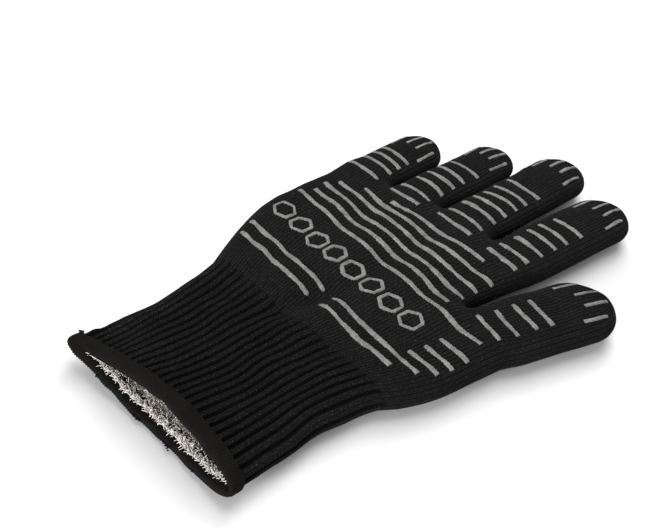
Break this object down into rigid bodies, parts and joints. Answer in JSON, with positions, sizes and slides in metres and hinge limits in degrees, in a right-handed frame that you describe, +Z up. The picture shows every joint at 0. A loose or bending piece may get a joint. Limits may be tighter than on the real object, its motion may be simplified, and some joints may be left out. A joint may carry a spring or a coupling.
{
  "type": "heat resistant glove",
  "caption": "Knitted heat resistant glove with a terry lining, silicone grip strips and a long rib cuff, lying flat palm side up; digits and wrist fold.",
  "frame": {"origin": "middle of the rectangle that the glove covers, at the level of the surface it lies on", "axes": "+X towards the thumb, +Y towards the fingertips, +Z up out of the palm side"},
  "size_m": [0.1905, 0.32, 0.022],
  "materials": {
    "aramid_knit": "black plain knit, matte, slightly fuzzy",
    "rib_knit": "black rib knit, matte",
    "overlock_thread": "dark brownish black overlock thread",
    "terry_lining": "cream cotton terry loops",
    "silicone_grip": "matte grey silicone"
  },
  "bodies": {
    "palm": {"palm_knit": "aramid_knit", "palm_lining": "terry_lining", "palm_side_long_stripes": "silicone_grip", "palm_side_root_strips": "silicone_grip", "palm_side_wrist_stripes": "silicone_grip", "palm_side_thumb_base_strips": "silicone_grip", "palm_side_hexagon_row": "silicone_grip", "back_side_long_stripes": "silicone_grip", "back_side_root_strips": "silicone_grip", "back_side_wrist_stripes": "silicone_grip", "back_side_thumb_base_strips": "silicone_grip", "back_side_hexagon_row": "silicone_grip"},
    "cuff": {"cuff_rib_knit": "rib_knit", "cuff_lining": "terry_lining", "hem_overlock": "overlock_thread"},
    "pinky_base": {"pinky_base_knit": "aramid_knit", "pinky_base_lining": "terry_lining", "pinky_base_palm_strips": "silicone_grip", "pinky_base_back_strips": "silicone_grip"},
    "pinky_tip": {"pinky_tip_knit": "aramid_knit", "pinky_tip_lining": "terry_lining", "pinky_tip_palm_strips": "silicone_grip", "pinky_tip_back_strips": "silicone_grip"},
    "ring_base": {"ring_base_knit": "aramid_knit", "ring_base_lining": "terry_lining", "ring_base_palm_strips": "silicone_grip", "ring_base_back_strips": "silicone_grip"},
    "ring_tip": {"ring_tip_knit": "aramid_knit", "ring_tip_lining": "terry_lining", "ring_tip_palm_strips": "silicone_grip", "ring_tip_back_strips": "silicone_grip"},
    "middle_base": {"middle_base_knit": "aramid_knit", "middle_base_lining": "terry_lining", "middle_base_palm_strips": "silicone_grip", "middle_base_back_strips": "silicone_grip"},
    "middle_tip": {"middle_tip_knit": "aramid_knit", "middle_tip_lining": "terry_lining", "middle_tip_palm_strips": "silicone_grip", "middle_tip_back_strips": "silicone_grip"},
    "index_base": {"index_base_knit": "aramid_knit", "index_base_lining": "terry_lining", "index_base_palm_strips": "silicone_grip", "index_base_back_strips": "silicone_grip"},
    "index_tip": {"index_tip_knit": "aramid_knit", "index_tip_lining": "terry_lining", "index_tip_palm_strips": "silicone_grip", "index_tip_back_strips": "silicone_grip"},
    "thumb_base": {"thumb_base_knit": "aramid_knit", "thumb_base_lining": "terry_lining", "thumb_base_palm_strips": "silicone_grip", "thumb_base_back_strips": "silicone_grip"},
    "thumb_tip": {"thumb_tip_knit": "aramid_knit", "thumb_tip_lining": "terry_lining", "thumb_tip_palm_strips": "silicone_grip", "thumb_tip_back_strips": "silicone_grip"}
  },
  "joints": [
    {"name": "wrist_fold", "type": "hinge", "parent": "palm", "child": "cuff", "pos_m": [-0.004, -0.088, 0.011], "axis": [-1, 0, 0], "range_deg": [-45, 60]},
    {"name": "pinky_root_fold", "type": "hinge", "parent": "palm", "child": "pinky_base", "pos_m": [-0.078, 0.055, 0.01], "axis": [1, 0, 0], "range_deg": [-15, 80]},
    {"name": "pinky_middle_fold", "type": "hinge", "parent": "pinky_base", "child": "pinky_tip", "pos_m": [-0.078, 0.082, 0.01], "axis": [1, 0, 0], "range_deg": [0, 85]},
    {"name": "ring_root_fold", "type": "hinge", "parent": "palm", "child": "ring_base", "pos_m": [-0.044, 0.065, 0.01], "axis": [0.9998, -0.0175, 0], "range_deg": [-15, 80]},
    {"name": "ring_middle_fold", "type": "hinge", "parent": "ring_base", "child": "ring_tip", "pos_m": [-0.04346, 0.0958, 0.01], "axis": [0.9998, -0.0175, 0], "range_deg": [0, 85]},
    {"name": "middle_root_fold", "type": "hinge", "parent": "palm", "child": "middle_base", "pos_m": [-0.009, 0.069, 0.01], "axis": [0.9998, -0.0175, 0], "range_deg": [-15, 80]},
    {"name": "middle_middle_fold", "type": "hinge", "parent": "middle_base", "child": "middle_tip", "pos_m": [-0.00831, 0.10849, 0.01], "axis": [0.9998, -0.0175, 0], "range_deg": [0, 85]},
    {"name": "index_root_fold", "type": "hinge", "parent": "palm", "child": "index_base", "pos_m": [0.0294, 0.066, 0.01], "axis": [0.9962, -0.0872, 0], "range_deg": [-15, 80]},
    {"name": "index_middle_fold", "type": "hinge", "parent": "index_base", "child": "index_tip", "pos_m": [0.03224, 0.09848, 0.01], "axis": [0.9962, -0.0872, 0], "range_deg": [0, 85]},
    {"name": "thumb_root_fold", "type": "hinge", "parent": "palm", "child": "thumb_base", "pos_m": [0.0619, 0.0076, 0.01], "axis": [0.9563, -0.2924, 0], "range_deg": [-15, 60]},
    {"name": "thumb_middle_fold", "type": "hinge", "parent": "thumb_base", "child": "thumb_tip", "pos_m": [0.07155, 0.03916, 0.01], "axis": [0.9563, -0.2924, 0], "range_deg": [0, 75]}
  ]
}
